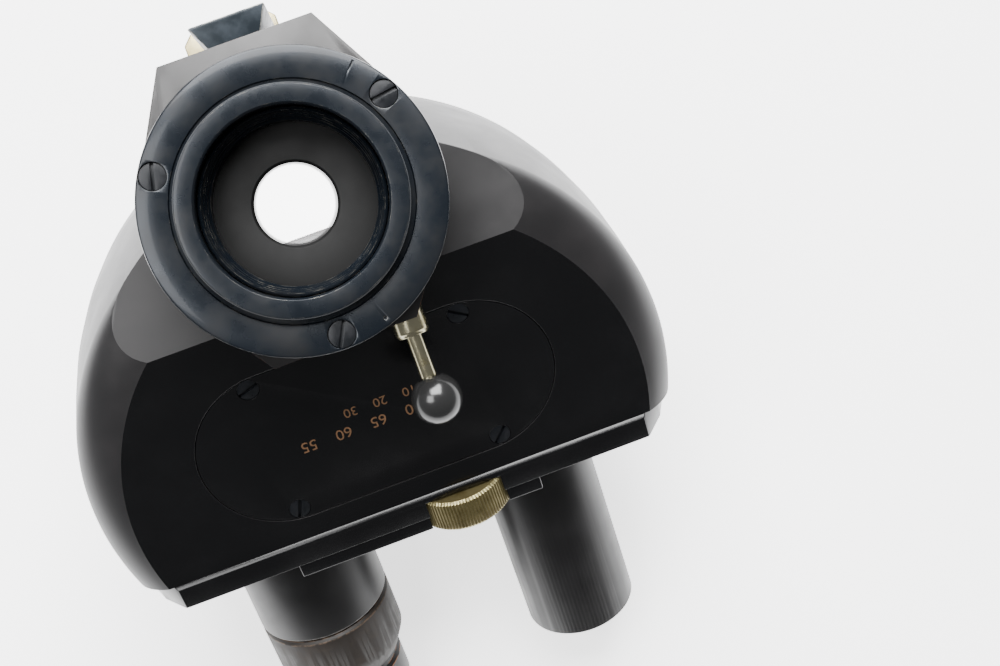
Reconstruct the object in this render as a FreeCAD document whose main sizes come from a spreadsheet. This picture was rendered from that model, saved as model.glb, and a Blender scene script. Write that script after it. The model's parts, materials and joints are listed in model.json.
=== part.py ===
"""Inclined binocular viewing head of a microscope, as a parametric assembly.

The frame: origin at the centre of the mounting ring's end face, +Z out of the ring, +Y towards the rear
dovetail, +X along the straight edge of the prism housing. The head stands upside down on the two
eyepiece tubes and the photo tube.

Parts of the prism housing are drawn in a tilted frame: x as above, u up the housing's front face from the
edge of its flat top, w out of that face. A tube's own z runs down the housing, away from the flat top.
"""
import FreeCAD
import Part
import math
import os
import Sketcher

NODES = {}

DIMENSIONS = [
    ("flange_radius", 28.5, "mounting flange"),
    ("flange_top", -3.2, "face of the flange below the ring's end face"),
    ("flange_thick", 4.5, "thickness of the flange"),
    ("ring_radius", 21.4, "mounting ring, outside"),
    ("ring_neck", 20.2, "undercut below the ring's lip"),
    ("bore_radius", 17.5, "clear bore of the ring and flange"),
    ("screw_circle", 25.65, "radius of the flange screw circle"),
    ("head_radius", 2.55, "flange screw head"),
    ("stop_radius", 7.8, "hole of the light stop"),
    ("stop_top", -12.5, "upper face of the light stop"),
    ("stop_thick", 1.0, "thickness of the light stop"),
    ("block_back", 31.7, "back face of the prism block"),
    ("block_half", 24.0, "half width of the block between the housing's flanks"),
    ("block_front", -9.0, "front face of the block inside the housing"),
    ("block_bottom", -72.0, "bottom of the block"),
    ("dovetail_wide", 7.5, "half width of the dovetail's outer face"),
    ("dovetail_root", 5.0, "half width of the dovetail's root"),
    ("dovetail_deep", 4.9, "height of the dovetail"),
    ("photo_radius", 19.4, "photo tube, outside"),
    ("photo_bore", 17.2, "photo tube, inside"),
    ("floor_level", -106.2, "plane that the tubes stand on"),
    ("lever_x", 12.2, "axis of the selector rod across the head"),
    ("rod_radius", 1.6, "selector rod"),
    ("sleeve_radius", 3.4, "guide sleeve of the rod"),
    ("ball_radius", 5.0, "ball of the selector rod"),
    ("front_y", -18.4, "front edge of the housing's flat top"),
    ("front_z", -19.2, "level of the housing's flat top"),
    ("tilt", 28.0, "slope of the eyepiece tubes, in degrees"),
    ("front_radius", 54.2, "arc of the front face"),
    ("front_centre", 39.4, "centre of that arc, down from the flat top"),
    ("bulge_radius", 61.0, "widest arc of the rim"),
    ("bulge_centre", 35.5, "centre of the widest arc"),
    ("bulge_deep", 6.5, "depth of the widest arc behind the front face"),
    ("back_radius", 58.5, "arc of the back edge"),
    ("back_centre", 37.0, "centre of the back arc"),
    ("housing_deep", 46.0, "depth of the housing"),
    ("base_top", 51.3, "where the base plate starts, down from the flat top"),
    ("base_thick", 5.5, "thickness of the base plate"),
    ("cover_arm", 19.6, "half distance between the arc centres of the cover plate"),
    ("cover_radius", 17.8, "end arcs of the cover plate"),
    ("cover_centre", 28.5, "centre of the cover plate, down from the flat top"),
    ("tube_x", 28.0, "half distance between the eyepiece tubes"),
    ("tube_deep", 25.8, "tube axes behind the front face"),
    ("tube_radius", 12.7, "eyepiece tube, outside"),
    ("tube_bore", 11.6, "eyepiece tube, inside"),
    ("collar_radius", 15.1, "collar and dioptre ring"),
    ("neck_radius", 9.2, "neck of a tube where it passes the base plate"),
    ("slide_travel", 8.0, "travel of each tube away from the middle"),
    ("wheel_x", 10.7, "axis of the adjusting wheel across the head"),
    ("wheel_deep", 6.0, "axis of the adjusting wheel behind the front face"),
    ("wheel_radius", 10.1, "adjusting wheel"),
    ("wheel_top", 53.2, "upper face of the wheel, down from the flat top"),
    ("wheel_thick", 7.4, "thickness of the wheel"),
    ("pinion_radius", 1.9, "pinion on the wheel's shaft"),
    ("shaft_radius", 1.2, "shaft of the adjusting wheel"),
]


class Size:
    """A length or angle with its value and the spreadsheet formula that it comes from."""

    def __init__(self, value, formula):
        self.value = value
        self.formula = formula

    def joined(self, other, sign, value):
        """A new size from this one and another one or a number."""
        text = other.formula if isinstance(other, Size) else repr(float(other))
        return Size(value, "(" + self.formula + sign + text + ")")

    def __add__(self, other):
        return self.joined(other, " + ", self.value + number(other))

    def __sub__(self, other):
        return self.joined(other, " - ", self.value - number(other))

    def __mul__(self, other):
        return self.joined(other, " * ", self.value * number(other))

    def __truediv__(self, other):
        return self.joined(other, " / ", self.value / number(other))

    def __neg__(self):
        return Size(-self.value, "(-1 * " + self.formula + ")")


def number(thing):
    """The plain value of a size or a number."""
    return thing.value if isinstance(thing, Size) else float(thing)


def make_sheet(doc):
    """Write the driving dimensions into a spreadsheet and return them as sizes."""
    sheet = doc.addObject("Spreadsheet::Sheet", "Sheet")
    sizes = {}
    for row, (alias, value, note) in enumerate(DIMENSIONS, start=1):
        sheet.set("A%d" % row, str(value))
        sheet.set("B%d" % row, note)
        sheet.setAlias("A%d" % row, alias)
        sizes[alias] = Size(float(value), "Sheet." + alias)
    doc.recompute()
    return sizes


DOC = FreeCAD.newDocument("viewing_head")
SIZES = make_sheet(DOC)


def dim(alias):
    """The driving dimension of that name."""
    return SIZES[alias]


TILT = number(dim("tilt"))
TILTED = FreeCAD.Placement(
    FreeCAD.Vector(0, number(dim("front_y")), number(dim("front_z"))),
    FreeCAD.Rotation(FreeCAD.Vector(1, 0, 0), TILT),
)
LEVEL = FreeCAD.Placement()


def spot(frame, x, y, z, turn=None):
    """A placement at a point of the level or the tilted frame, with an optional turn there."""
    point = FreeCAD.Vector(number(x), number(y), number(z))
    return frame.multiply(FreeCAD.Placement(point, turn or FreeCAD.Rotation()))


def turned_about(axis, degrees):
    """A rotation about a named axis."""
    vectors = {"x": (1, 0, 0), "y": (0, 1, 0), "z": (0, 0, 1)}
    return FreeCAD.Rotation(FreeCAD.Vector(*vectors[axis]), degrees)


ALONG_X = turned_about("y", 90)
ALONG_Y = turned_about("x", -90)
DOWN_HOUSING = turned_about("x", 90)


def bind(thing, prop, size):
    """Give a property its value, and its formula where it has one."""
    setattr(thing, prop, number(size))
    if isinstance(size, Size):
        thing.setExpression(prop, size.formula)


def node(label, thing):
    """Register an object as the sub-part of that name."""
    thing.Label = label
    NODES[label] = thing
    return thing


def solid(kind, sizes, placement):
    """A Part primitive with its sizes bound to the sheet."""
    thing = DOC.addObject("Part::" + kind, kind)
    for prop, size in sizes.items():
        bind(thing, prop, size)
    thing.Placement = placement
    return thing


def rod(radius, length, placement):
    """A cylinder from a point along the placement's z."""
    return solid("Cylinder", {"Radius": radius, "Height": length}, placement)


def bar(frame, x_range, y_range, z_range):
    """A box between two corners of a frame."""
    spans = [(number(high) - number(low)) for low, high in (x_range, y_range, z_range)]
    lows = [low for low, _ in (x_range, y_range, z_range)]
    sizes = {}
    for prop, (low, high), span in zip(("Length", "Width", "Height"), (x_range, y_range, z_range), spans):
        sized = isinstance(high, Size)
        sizes[prop] = (high - low) if sized else span
    return solid("Box", sizes, spot(frame, *lows))


def fused(pieces):
    """Several solids as one."""
    if len(pieces) == 1:
        return pieces[0]
    thing = DOC.addObject("Part::MultiFuse", "Fuse")
    thing.Shapes = pieces
    return thing


def cut(base, tools):
    """A solid with tools taken out of it."""
    thing = DOC.addObject("Part::Cut", "Cut")
    thing.Base = base
    thing.Tool = fused(tools)
    return thing


def grouped(pieces):
    """Separate identical solids kept together in one sub-part."""
    thing = DOC.addObject("Part::Compound", "Group")
    thing.Links = pieces
    return thing


def origin_plane(body, role):
    """One of a body's own origin planes."""
    return next(item for item in body.Origin.OriginFeatures if item.Role == role)


def arc_between(start, end, radius):
    """The arc from start to end: a positive radius turns left, a negative one turns right."""
    left = radius > 0
    size = abs(radius)
    first, last = (start, end) if left else (end, start)
    chord = last - first
    half = chord.Length / 2
    across = FreeCAD.Vector(-chord.y, chord.x, 0).normalize()
    centre = (first + last) * 0.5 + across * math.sqrt(max(size * size - half * half, 0))
    begin = math.atan2(first.y - centre.y, first.x - centre.x)
    finish = math.atan2(last.y - centre.y, last.x - centre.x)
    circle = Part.Circle(centre, FreeCAD.Vector(0, 0, 1), size)
    return Part.ArcOfCircle(circle, begin, finish)


def fix_point(sketch, side, end, axis_name, size):
    """Tie one coordinate of a side's end to a size."""
    if not isinstance(size, Size) and float(size) == 0.0:
        axis_line = -2 if axis_name == "DistanceX" else -1
        sketch.addConstraint(Sketcher.Constraint("PointOnObject", side, end, axis_line))
        return
    row = sketch.addConstraint(Sketcher.Constraint(axis_name, -1, 1, side, end, number(size)))
    if isinstance(size, Size):
        sketch.setExpression("Constraints[%d]" % row, size.formula)


def draw_outline(sketch, corners):
    """Draw a closed outline. A corner is (x, y), or (x, y, radius) where an arc leads to it."""
    points = [FreeCAD.Vector(number(corner[0]), number(corner[1]), 0) for corner in corners]
    sides = []
    for index, corner in enumerate(corners):
        start, end = points[index - 1], points[index]
        if len(corner) == 3:
            side = sketch.addGeometry(arc_between(start, end, number(corner[2])))
            ends = (1, 2) if number(corner[2]) > 0 else (2, 1)
            bow = abs(number(corner[2]))
            row = sketch.addConstraint(Sketcher.Constraint("Radius", side, bow))
            if isinstance(corner[2], Size) and corner[2].value > 0:
                sketch.setExpression("Constraints[%d]" % row, corner[2].formula)
        else:
            side = sketch.addGeometry(Part.LineSegment(start, end))
            ends = (1, 2)
        sides.append((side, ends))
    for index, corner in enumerate(corners):
        side, ends = sides[index]
        following, next_ends = sides[(index + 1) % len(sides)]
        sketch.addConstraint(Sketcher.Constraint("Coincident", side, ends[1], following, next_ends[0]))
        fix_point(sketch, side, ends[1], "DistanceX", corner[0])
        fix_point(sketch, side, ends[1], "DistanceY", corner[1])


def sketched(role, corners):
    """A body with one outline drawn on one of its origin planes."""
    body = DOC.addObject("PartDesign::Body", "Body")
    sketch = body.newObject("Sketcher::SketchObject", "Outline")
    sketch.AttachmentSupport = [(origin_plane(body, role), "")]
    sketch.MapMode = "FlatFace"
    draw_outline(sketch, corners)
    return body, sketch


def turned(corners, placement=LEVEL):
    """A body of revolution about its own z: corners are (radius, z)."""
    body, sketch = sketched("XZ_Plane", corners)
    feature = body.newObject("PartDesign::Revolution", "Turning")
    feature.Profile = sketch
    feature.ReferenceAxis = (sketch, ["V_Axis"])
    feature.Angle = 360
    body.Placement = placement
    return body


def plate(corners, thick, placement=LEVEL, role="XY_Plane"):
    """A flat outline made solid: along +z on the XY plane, along -y on the XZ plane."""
    body, sketch = sketched(role, corners)
    feature = body.newObject("PartDesign::Pad", "Plate")
    feature.Profile = sketch
    bind(feature, "Length", thick)
    body.Placement = placement
    return body


def mirrored_outline(right_side):
    """A closed outline that is the same on both sides of the middle, from its right side."""
    left_side = []
    for corner in reversed(right_side):
        flipped = -corner[0]
        left_side.append((flipped, corner[1]))
    return list(right_side) + left_side


def tube_frame(x, deep):
    """The placement of a turned piece whose axis runs down the housing."""
    return spot(TILTED, x, 0, -number(deep), DOWN_HOUSING)


def slotted_screw(frame, length, head, shank, head_high=1.4):
    """One cheese-head screw with its head's top at the frame's origin and its shank below."""
    at_head = frame.multiply(FreeCAD.Placement(FreeCAD.Vector(0, 0, -head_high), FreeCAD.Rotation()))
    at_end = frame.multiply(FreeCAD.Placement(FreeCAD.Vector(0, 0, -length), FreeCAD.Rotation()))
    whole = fused([rod(head, head_high, at_head), rod(shank, length - head_high, at_end)])
    reach = number(head) + 0.5
    slot = bar(frame, (-reach, reach), (-0.35, 0.35), (-0.7, 0.5))
    return cut(whole, [slot])


# ---- mounting flange and light stop -------------------------------------------------------------

def build_flange():
    """The screwed flange with its undercut ring, its three recessed screws, and the stop below it."""
    top = dim("flange_top")
    bottom = top - dim("flange_thick")
    ring = dim("ring_radius")
    bore = dim("bore_radius")
    rim = dim("flange_radius")
    body = turned([
        (bore + 0.4, 0), (ring - 0.3, 0), (ring, -0.3), (ring, -1.9), (dim("ring_neck"), -2.9),
        (dim("ring_neck"), top), (rim - 0.5, top), (rim, top - 0.5), (rim, bottom + 0.3),
        (rim - 0.3, bottom), (bore, bottom), (bore, -0.4),
    ])
    wells = []
    screws = []
    for degrees, slot_turn in ((30, 8), (150, 75), (270, 62)):
        x = number(dim("screw_circle")) * math.cos(math.radians(degrees))
        y = number(dim("screw_circle")) * math.sin(math.radians(degrees))
        wells.append(rod(dim("head_radius") + 0.12, 3.0, spot(LEVEL, x, y, number(top) - 1.9)))
        wells.append(rod(1.55, 6.0, spot(LEVEL, x, y, number(bottom) - 0.5)))
        seat = spot(LEVEL, x, y, number(top) - 0.45, turned_about("z", slot_turn))
        screws.append(slotted_screw(seat, 10.0, dim("head_radius"), 1.45))
    node("mount_flange", cut(body, wells))
    node("flange_screws", grouped(screws))

    stop = dim("stop_top")
    node("retaining_ring", turned([
        (16.7, -3.6), (17.2, -4.0), (17.3, -4.4), (17.3, stop), (15.6, stop), (15.6, -9.0), (16.0, -8.6),
        (16.0, -6.4), (16.4, -6.0), (16.4, -3.9),
    ]))
    node("light_stop", turned([
        (17.2, stop), (17.2, stop - dim("stop_thick")), (dim("stop_radius"), stop - dim("stop_thick")),
        (dim("stop_radius"), stop - 0.5), (dim("stop_radius") + 0.5, stop),
    ]))


# ---- prism block --------------------------------------------------------------------------------

def build_block():
    """The block between flange and housing, hollow for the sliding prism, with its rear dovetail."""
    back = dim("block_back")
    half = dim("block_half")
    under_flange = dim("flange_top") - dim("flange_thick")
    level = dim("front_z")
    upper = plate(mirrored_outline([(14.0, -27.5), (26.0, -10.0), (26.0, 10.0), (22.0, 19.0), (15.0, back)]),
                  under_flange - level, spot(LEVEL, 0, 0, level))
    lower = plate(mirrored_outline([(half, dim("block_front")), (half, 14.5), (22.0, 19.0), (15.0, back)]),
                  level - dim("block_bottom"), spot(LEVEL, 0, 0, dim("block_bottom")))
    ledge = dim("stop_top") - dim("stop_thick")
    rod_hole = spot(LEVEL, dim("lever_x"), -10, level, ALONG_Y)
    sleeve_hole = spot(LEVEL, dim("lever_x"), -40, level, ALONG_Y)
    hollows = [
        bar(LEVEL, (-17, 17), (-6, 29.2), (-69, -15.5)),
        bar(LEVEL, (-11, 11), (29, 33), (-64, -20)),
        rod(17.4, 10, spot(LEVEL, 0, 0, ledge)),
        rod(13.2, 6, spot(LEVEL, 0, 0, -17)),
        rod(12, 6, spot(LEVEL, 0, 3, number(dim("block_bottom")) - 1)),
        rod(dim("rod_radius") + 0.05, 10, rod_hole),
        rod(dim("sleeve_radius") + 0.05, 31, sleeve_hole),
        rod(9, 6, spot(LEVEL, 0, -11, -38.5, ALONG_Y)),
    ]
    for degrees in (30, 150, 270):
        x = number(dim("screw_circle")) * math.cos(math.radians(degrees))
        y = number(dim("screw_circle")) * math.sin(math.radians(degrees))
        hollows.append(rod(1.5, 8, spot(LEVEL, x, y, -14.2)))
    for z in (-24, -44):
        hollows.append(rod(1.3, 8, spot(LEVEL, 0, 24, z, ALONG_Y)))
    node("prism_block", cut(fused([upper, lower]), hollows))

    outer = back + dim("dovetail_deep")
    plate_holes = [rod(1.55, 12, spot(LEVEL, 0, 26, z, ALONG_Y)) for z in (-24, -44)]
    node("rear_plate", cut(bar(LEVEL, (-10.9, 10.9), (29.3, 31.65), (-63.9, -20.1)), plate_holes))
    tail = plate(mirrored_outline([(dim("dovetail_root"), back), (dim("dovetail_wide") - 0.4, outer - 0.7),
                                   (dim("dovetail_wide"), outer - 0.3), (dim("dovetail_wide") - 0.3, outer)]),
                 41, spot(LEVEL, 0, 0, -50))
    tail_holes = []
    tail_screws = []
    for z in (-24, -44):
        tail_holes.append(rod(1.55, 12, spot(LEVEL, 0, 26, z, ALONG_Y)))
        tail_holes.append(rod(2.45, 5, spot(LEVEL, 0, number(outer) - 1.9, z, ALONG_Y)))
        tail_screws.append(slotted_screw(spot(LEVEL, 0, number(outer) - 0.4, z, ALONG_Y), 6.8, 2.3, 1.45))
    node("rear_dovetail", cut(tail, tail_holes))
    node("dovetail_screws", grouped(tail_screws))
    stop_corners = [(-11.8, 31.7), (8.2, 31.7), (8.2, 40.5), (6.2, 42.5), (-9.8, 42.5), (-11.8, 40.5)]
    node("dovetail_stop", plate(stop_corners, 2.6, spot(LEVEL, 0, 0, -52.6)))
    lens_edge = [(0, 0), (8.9, 0), (8.9, 1.4), (6, 2.1), (3, 2.5), (0, 2.6)]
    node("exit_lens", turned(lens_edge, spot(LEVEL, 0, -8.7, -38.5, ALONG_Y)))
    rails = [bar(LEVEL, (x - 2.2, x + 2.2), (-5.9, 29.1), (-50, -46.3)) for x in (-14.6, 14.6)]
    node("carriage_rails", grouped(rails))


# ---- photo tube ---------------------------------------------------------------------------------

def build_photo_tube():
    """The straight tube under the block, with its seat and the collar that clamps what it holds."""
    seat_bottom = dim("block_bottom") - 3.5
    floor = dim("floor_level")
    outer = dim("photo_radius")
    inner = dim("photo_bore")
    seat = rod(outer, 3.5, spot(LEVEL, 0, 0, seat_bottom))
    node("photo_tube_seat", cut(seat, [rod(12, 6, spot(LEVEL, 0, 3, number(seat_bottom) - 1))]))
    node("photo_tube", turned([
        (inner, seat_bottom), (outer, seat_bottom), (outer, floor + 0.6), (outer - 0.6, floor),
        (inner + 0.4, floor), (inner, floor + 0.4),
    ]))
    collar = turned([(outer + 0.05, -79.5), (23.5, -79.5), (24.0, -80.0), (24.0, -89.0), (23.5, -89.5),
                     (outer + 0.05, -89.5)])
    centre = -84.5
    split = bar(LEVEL, (-1.0, 1.0), (15, 30), (-95, -75))
    pass_hole = rod(2.05, 12, spot(LEVEL, 17, 0, centre, ALONG_X))
    node("clamp_collar", cut(collar, [split, pass_hole]))
    node("clamp_knob", turned([
        (0, 0), (2.0, 0), (2.0, 9.8), (4.0, 9.8), (4.0, 10.8), (7.1, 10.8), (7.5, 11.2), (7.5, 17.4),
        (7.1, 17.8), (0, 17.8),
    ], spot(LEVEL, 19.6, 0, centre, ALONG_X)))


# ---- selector -----------------------------------------------------------------------------------

def build_selector():
    """The push-pull rod that slides the deflecting prism into the beam, and its fixed sleeve."""
    level = dim("front_z")
    lever = dim("lever_x")
    radius = dim("rod_radius")
    sleeve = turned([
        (radius + 0.05, 0), (2.9, 0), (3.1, 0.5), (dim("sleeve_radius"), 0.8), (dim("sleeve_radius"), 21.9),
        (radius + 0.05, 21.9),
    ], spot(LEVEL, lever, -31, level, ALONG_Y))
    node("selector_sleeve", sleeve)
    node("selector_rod", rod(radius, 56.5, spot(LEVEL, lever, -40.6, level, ALONG_Y)))
    ball = solid("Sphere", {"Radius": dim("ball_radius")}, spot(LEVEL, lever, -43.9, level))
    node("ball_knob", cut(ball, [rod(radius, 6, spot(LEVEL, lever, -40.6, level, ALONG_Y))]))

    near, far = 12.3, 29.0
    floor = bar(LEVEL, (-16.4, 16.4), (near, far), (-46.2, -44.2))
    cheeks = [bar(LEVEL, (x - 1.4, x + 1.4), (near, far), (-44.2, -25.4)) for x in (-10.7, 10.7)]
    roof = bar(LEVEL, (-12.1, 15), (near, far), (-25.4, -23.4))
    lug = bar(LEVEL, (9.9, 14.9), (near, 18.3), (-23.4, -16.3))
    socket = rod(radius, 8, spot(LEVEL, lever, 8, level, ALONG_Y))
    node("prism_carriage", cut(fused([floor, roof, lug] + cheeks), [socket]))
    glass = plate([(12.7, -44.1), (28.6, -44.1), (28.6, -34), (20.0, -25.5), (12.7, -25.5)], 18.4,
                  spot(LEVEL, -9.2, 0, 0, FreeCAD.Rotation(FreeCAD.Vector(1, 1, 1), 120)))
    node("deflecting_prism", glass)


# ---- prism housing ------------------------------------------------------------------------------

def rim_solid():
    """The housing's outer form: a front arc that swells to a wide rim and draws in to the back."""
    sections = [
        (0, dim("front_radius"), dim("front_centre")),
        (dim("bulge_deep") * 0.42, dim("bulge_radius") - 1.9, dim("bulge_centre") + 1.3),
        (dim("bulge_deep"), dim("bulge_radius"), dim("bulge_centre")),
        (dim("bulge_deep") * 3.0, dim("bulge_radius") + 0.2, dim("bulge_centre")),
        (dim("housing_deep"), dim("back_radius"), dim("back_centre")),
    ]
    circles = []
    for deep, radius, centre in sections:
        circle = DOC.addObject("Part::Circle", "Section")
        bind(circle, "Radius", radius)
        circle.Placement = spot(TILTED, 0, -number(centre), -number(deep))
        circles.append(circle)
    form = DOC.addObject("Part::Loft", "Form")
    form.Sections = circles
    form.Solid = True
    form.Ruled = False
    return form


def around_housing():
    """What is taken off the housing and its rear cover: the flat top, the block's seat, the base."""
    half = number(dim("block_half")) + 0.1
    front = number(dim("block_front")) - 0.1
    base = -number(dim("base_top"))
    return [
        bar(LEVEL, (-80, 80), (-80, 80), (number(dim("front_z")), 60)),
        bar(LEVEL, (-half, half), (front, 80), (-120, number(dim("front_z")) + 1)),
        bar(TILTED, (-80, 80), (-120, base), (-80, 40)),
    ]


def cover_form(inset, thick, w):
    """The rounded form of the cover plate, from depth w up to w plus its thickness."""
    arm = number(dim("cover_arm"))
    radius = dim("cover_radius") - inset
    middle = -number(dim("cover_centre"))
    ends = [rod(radius, thick, spot(TILTED, side * arm, middle, w)) for side in (-1, 1)]
    reach = number(radius)
    return fused(ends + [bar(TILTED, (-arm, arm), (middle - reach, middle + reach), (w, w + thick))])


def build_housing():
    """The D-shaped housing with its front cover, rear cover and the screws of both."""
    deep = number(dim("housing_deep"))
    middle = -38
    lip = -deep + 2.4
    roof = bar(LEVEL, (-80, 80), (-80, 80), (number(dim("front_z")) - 3, 20))
    room = cut(rod(55, deep - 8.4, spot(TILTED, 0, middle, lip + 3)), [roof])
    hollows = around_housing() + [
        cover_form(0, 5, -1.6),
        cover_form(3.5, 12, -8),
        room,
        rod(48.5, 4, spot(TILTED, 0, middle, lip - 0.5)),
        rod(52, 10, spot(TILTED, 0, middle, lip - 10)),
        rod(dim("sleeve_radius") + 0.15, 24, spot(LEVEL, dim("lever_x"), -32, dim("front_z"), ALONG_Y)),
    ]
    spots = [(x, -(number(dim("cover_centre")) + side * 15.2)) for x in (-21.8, 21.8) for side in (-1, 1)]
    holes = [rod(1.15, 4, spot(TILTED, x, u, -4.6)) for x, u in spots]
    corners = []
    for degrees in (-10, 35, 145, 190):
        bearing = math.radians(degrees)
        corners.append((50.0 * math.cos(bearing), middle + 50.0 * math.sin(bearing)))
    holes += [rod(1.15, 8, spot(TILTED, x, u, lip - 1)) for x, u in corners]
    node("housing_shell", cut(rim_solid(), hollows + holes))

    cover = cover_form(0.2, 1.5, -1.55)
    sinks = [rod(2.25, 2, spot(TILTED, x, u, -0.9)) for x, u in spots]
    passes = [rod(1.25, 4, spot(TILTED, x, u, -3)) for x, u in spots]
    node("cover_plate", cut(cover, sinks + passes))
    turns = (20, 70, -35, 50)
    screws = []
    for (x, u), slot_turn in zip(spots, turns):
        seat = spot(TILTED, x, u, -0.12, turned_about("z", slot_turn))
        screws.append(slotted_screw(seat, 2.6, 2.15, 1.1, 0.72))
    node("cover_screws", grouped(screws))

    back = rod(51.8, 2.4, spot(TILTED, 0, middle, -deep))
    back_sinks = [rod(2.0, 1.2, spot(TILTED, x, u, -deep - 0.1)) for x, u in corners]
    back_passes = [rod(1.25, 4, spot(TILTED, x, u, -deep - 0.5)) for x, u in corners]
    node("rear_cover", cut(back, around_housing() + back_sinks + back_passes))
    flip = turned_about("x", 180)
    back_screws = [slotted_screw(spot(TILTED, x, u, -deep + 0.25, flip), 5.0, 1.85, 1.1, 0.8)
                   for x, u in corners]
    node("rear_cover_screws", grouped(back_screws))


def build_base():
    """The base plate that closes the housing, the guards beside the wheel and the fasteners."""
    top = number(dim("base_top"))
    bottom = top + number(dim("base_thick"))
    middle = -number(dim("tube_deep"))
    right = [(57.0, -46.5), (60.6, -30.0), (60.0, -20.0), (57.5, -10.0), (55.5, -5.0), (51.8, 0.0),
             (51.2, 0.7)]
    slab = plate(mirrored_outline(right), dim("base_thick"), spot(TILTED, 0, -top, 0), "XZ_Plane")
    edge = bar(TILTED, (-80, 80), (-0.6, 0.6), (-0.6, 0.6))
    edge.Placement = spot(TILTED, -80, -top, 0.05, turned_about("x", 45))
    wheel_x, wheel_deep = number(dim("wheel_x")), number(dim("wheel_deep"))
    pocket_radius = number(dim("wheel_radius")) + 0.5
    pocket_top = number(dim("wheel_top")) - 0.2
    pocket = rod(pocket_radius, 12, tube_frame(wheel_x, wheel_deep).multiply(spot(LEVEL, 0, 0, pocket_top)))
    at_shaft = tube_frame(wheel_x, wheel_deep).multiply(spot(LEVEL, 0, 0, top - 2))
    shaft_hole = rod(dim("shaft_radius") + 0.05, 12, at_shaft)
    tools = [edge, pocket, shaft_hole]
    reach = number(dim("neck_radius")) + 0.3
    for side in (-1, 1):
        rest = side * number(dim("tube_x"))
        far = rest + side * number(dim("slide_travel"))
        for x in (rest, far):
            tools.append(rod(reach, 12, spot(TILTED, x, -top + 2, middle, DOWN_HOUSING)))
        low, high = sorted((rest, far))
        tools.append(bar(TILTED, (low, high), (-top - 10, -top + 2), (middle - reach, middle + reach)))
    node("base_plate", cut(slab, tools))

    guard_low, guard_high = -(bottom + 3.2), -bottom
    for name, span in (("left", (-26.7, wheel_x)), ("right", (wheel_x, 26.7))):
        node("wheel_guard_" + name, cut(bar(TILTED, span, (guard_low, guard_high), (-12, 0.4)), [pocket]))

    cube = 8.0
    level = -30.0
    across = (-cube, cube)
    depths = (middle - cube, middle + cube)
    node("splitter_prism", bar(TILTED, across, (level - cube, level + cube), depths))
    node("splitter_mount", bar(TILTED, (-10, 10), (level - 10, level + 10), (-43.5, middle - cube - 0.1)))


# ---- adjusting wheel ----------------------------------------------------------------------------

def build_wheel():
    """The knurled wheel, its shaft and the pinion that drives both racks."""
    axis = tube_frame(dim("wheel_x"), dim("wheel_deep"))
    top = dim("wheel_top")
    rim = dim("wheel_radius")
    core = dim("shaft_radius")
    low = top + dim("wheel_thick")
    node("adjusting_wheel", turned([
        (core, top), (rim - 0.6, top), (rim, top + 0.6), (rim, low - 0.6), (rim - 0.6, low), (core, low),
    ], axis))
    node("wheel_shaft", rod(core, 17.8, axis.multiply(spot(LEVEL, 0, 0, 44.2))))
    bore = rod(core, 6, axis.multiply(spot(LEVEL, 0, 0, 44)))
    node("pinion", cut(rod(dim("pinion_radius"), 3.2, axis.multiply(spot(LEVEL, 0, 0, 44.7))), [bore]))


# ---- eyepiece slides ----------------------------------------------------------------------------

def slide_plate(side, upper):
    """A slide that carries one tube along the base plate: upper is its upper face."""
    low, high = sorted((side * 13.5, side * 44.0))
    base = number(dim("base_top")) - 0.1
    middle = -number(dim("tube_deep"))
    block = bar(TILTED, (low, high), (-base, -upper), (-40.0, -3.2))
    at_neck = spot(TILTED, side * number(dim("tube_x")), -upper + 2, middle, DOWN_HOUSING)
    return cut(block, [rod(dim("neck_radius"), 12, at_neck)])


def neck_and_prism(side):
    """The neck through the base plate, the seat at its upper end and the prism on the seat."""
    x = side * number(dim("tube_x"))
    middle = -number(dim("tube_deep"))
    frame = tube_frame(x, dim("tube_deep"))
    neck = dim("neck_radius")
    name = "left" if side < 0 else "right"
    node(name + "_neck", turned([(7.6, 39.6), (neck, 39.6), (neck, 61.3), (7.6, 61.3)], frame))
    seat = bar(TILTED, (x - 9, x + 9), (-39.6, -38.1), (middle - 9, middle + 9))
    hole = rod(7, 4, spot(TILTED, x, -37, middle, DOWN_HOUSING))
    node(name + "_prism_seat", cut(seat, [hole]))
    inward = -side
    prism = plate([(0, 0), (16, 0), (16, 16)] if inward > 0 else [(0, 0), (16, 0), (0, 16)], 16,
                  spot(TILTED, x - 8, -38.1, middle - 8))
    node(name + "_prism", prism)


def end_of_tube(radius, rounding):
    """Where a tube of that radius ends, so that its rounded lower edge just meets the floor."""
    slope = math.radians(TILT)
    drop = number(dim("front_z")) - number(dim("floor_level"))
    deep = (number(dim("tube_deep")) + number(radius) - rounding) * math.cos(slope)
    return (drop - deep - rounding) / math.sin(slope) + rounding


def build_right_side():
    """The right slide: plate, rack, neck, prism and the open eyepiece tube."""
    node("right_slide_plate", slide_plate(1, 48.3))
    node("right_rack", bar(TILTED, (-5, 30), (-48.3, -44.8), (-4.0, -3.2)))
    neck_and_prism(1)
    radius = dim("tube_radius")
    bore = dim("tube_bore")
    rounding = 0.7
    end = end_of_tube(radius, rounding)
    node("right_tube", turned([
        (7.6, 61.4), (radius - 0.4, 61.4), (radius, 61.8), (radius, end - rounding),
        (radius - rounding, end, rounding), (bore, end), (bore, 66), (7.6, 66),
    ], tube_frame(dim("tube_x"), dim("tube_deep"))))


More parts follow.
